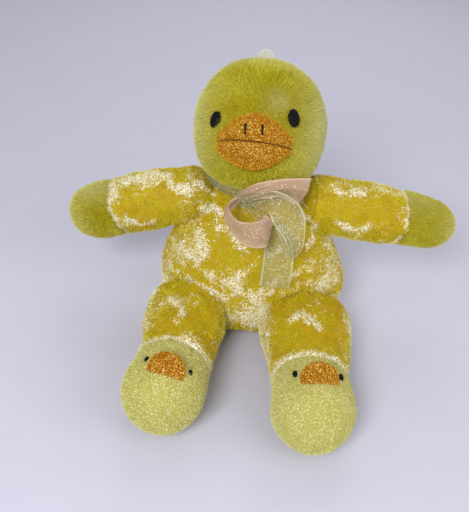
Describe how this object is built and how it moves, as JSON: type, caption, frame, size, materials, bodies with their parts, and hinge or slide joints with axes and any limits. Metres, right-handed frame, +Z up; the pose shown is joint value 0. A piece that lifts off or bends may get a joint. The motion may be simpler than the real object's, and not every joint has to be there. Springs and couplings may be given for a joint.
{
  "type": "plush duck",
  "caption": "Seated plush duck with turning head, arms and legs, a padded orange bill, round terry feet and a two-ribbon bow.",
  "frame": {"origin": "middle of the flat seat, on the floor", "axes": "+Z up along the upright seated toy, -Y to the front where the face and feet point, +X towards the duck's own left arm"},
  "size_m": [0.3004, 0.2162, 0.2047],
  "materials": {
    "yellow_pile": "long matt pile",
    "crushed_velour": "crushed shiny velour",
    "pale_terry": "looped terry with glitter",
    "orange_terry": "looped terry with glitter",
    "black_thread": "satin-stitched thread",
    "brown_thread": "stitched thread",
    "tab_cloth": "matt woven cloth",
    "pale_organza": "sheer glittering organza",
    "peach_satin": "sheer satin",
    "fibre_filling": "loose polyester fibre"
  },
  "bodies": {
    "torso": {"body_cover": "crushed_velour", "body_stuffing": "fibre_filling", "tail": "crushed_velour", "neck_ribbon": "pale_organza", "bow_knot": "pale_organza", "peach_tail": "peach_satin", "peach_loop": "peach_satin", "pale_loop": "pale_organza", "pale_tail": "pale_organza"},
    "head": {"head_front": "yellow_pile", "head_back": "yellow_pile", "head_stuffing": "fibre_filling", "hang_tab": "tab_cloth", "upper_bill": "orange_terry", "lower_bill": "orange_terry", "bill_stuffing": "fibre_filling", "mouth_stitch": "brown_thread", "nostril_right": "black_thread", "nostril_left": "black_thread", "eye_right": "black_thread", "eye_left": "black_thread"},
    "arm_right": {"sleeve_right": "crushed_velour", "hand_right": "yellow_pile", "arm_stuffing_right": "fibre_filling"},
    "arm_left": {"sleeve_left": "crushed_velour", "hand_left": "yellow_pile", "arm_stuffing_left": "fibre_filling"},
    "leg_right": {"leg_cover_right": "crushed_velour", "foot_upper_right": "pale_terry", "foot_sole_right": "pale_terry", "leg_stuffing_right": "fibre_filling", "foot_bill_right": "orange_terry", "foot_eye_inner_right": "black_thread", "foot_eye_outer_right": "black_thread"},
    "leg_left": {"leg_cover_left": "crushed_velour", "foot_upper_left": "pale_terry", "foot_sole_left": "pale_terry", "leg_stuffing_left": "fibre_filling", "foot_bill_left": "orange_terry", "foot_eye_inner_left": "black_thread", "foot_eye_outer_left": "black_thread"}
  },
  "joints": [
    {"name": "head_turn", "type": "hinge", "parent": "torso", "child": "head", "pos_m": [0, 0.01642, 0.11685], "axis": [0, 0.1392, 0.9903], "range_deg": [-30, 30]},
    {"name": "arm_right_lift", "type": "hinge", "parent": "torso", "child": "arm_right", "pos_m": [-0.04711, 0.0142, 0.10101], "axis": [0, 1, 0], "range_deg": [-22, 35]},
    {"name": "arm_left_lift", "type": "hinge", "parent": "torso", "child": "arm_left", "pos_m": [0.0486, 0.0142, 0.10101], "axis": [0, -1, 0], "range_deg": [-22, 35]},
    {"name": "leg_right_lift", "type": "hinge", "parent": "torso", "child": "leg_right", "pos_m": [-0.044, -0.03569, 0.0255], "axis": [-1, 0, 0], "range_deg": [-70, 18]},
    {"name": "leg_left_lift", "type": "hinge", "parent": "torso", "child": "leg_left", "pos_m": [0.047, -0.03838, 0.0255], "axis": [-1, 0, 0], "range_deg": [-70, 18]}
  ]
}
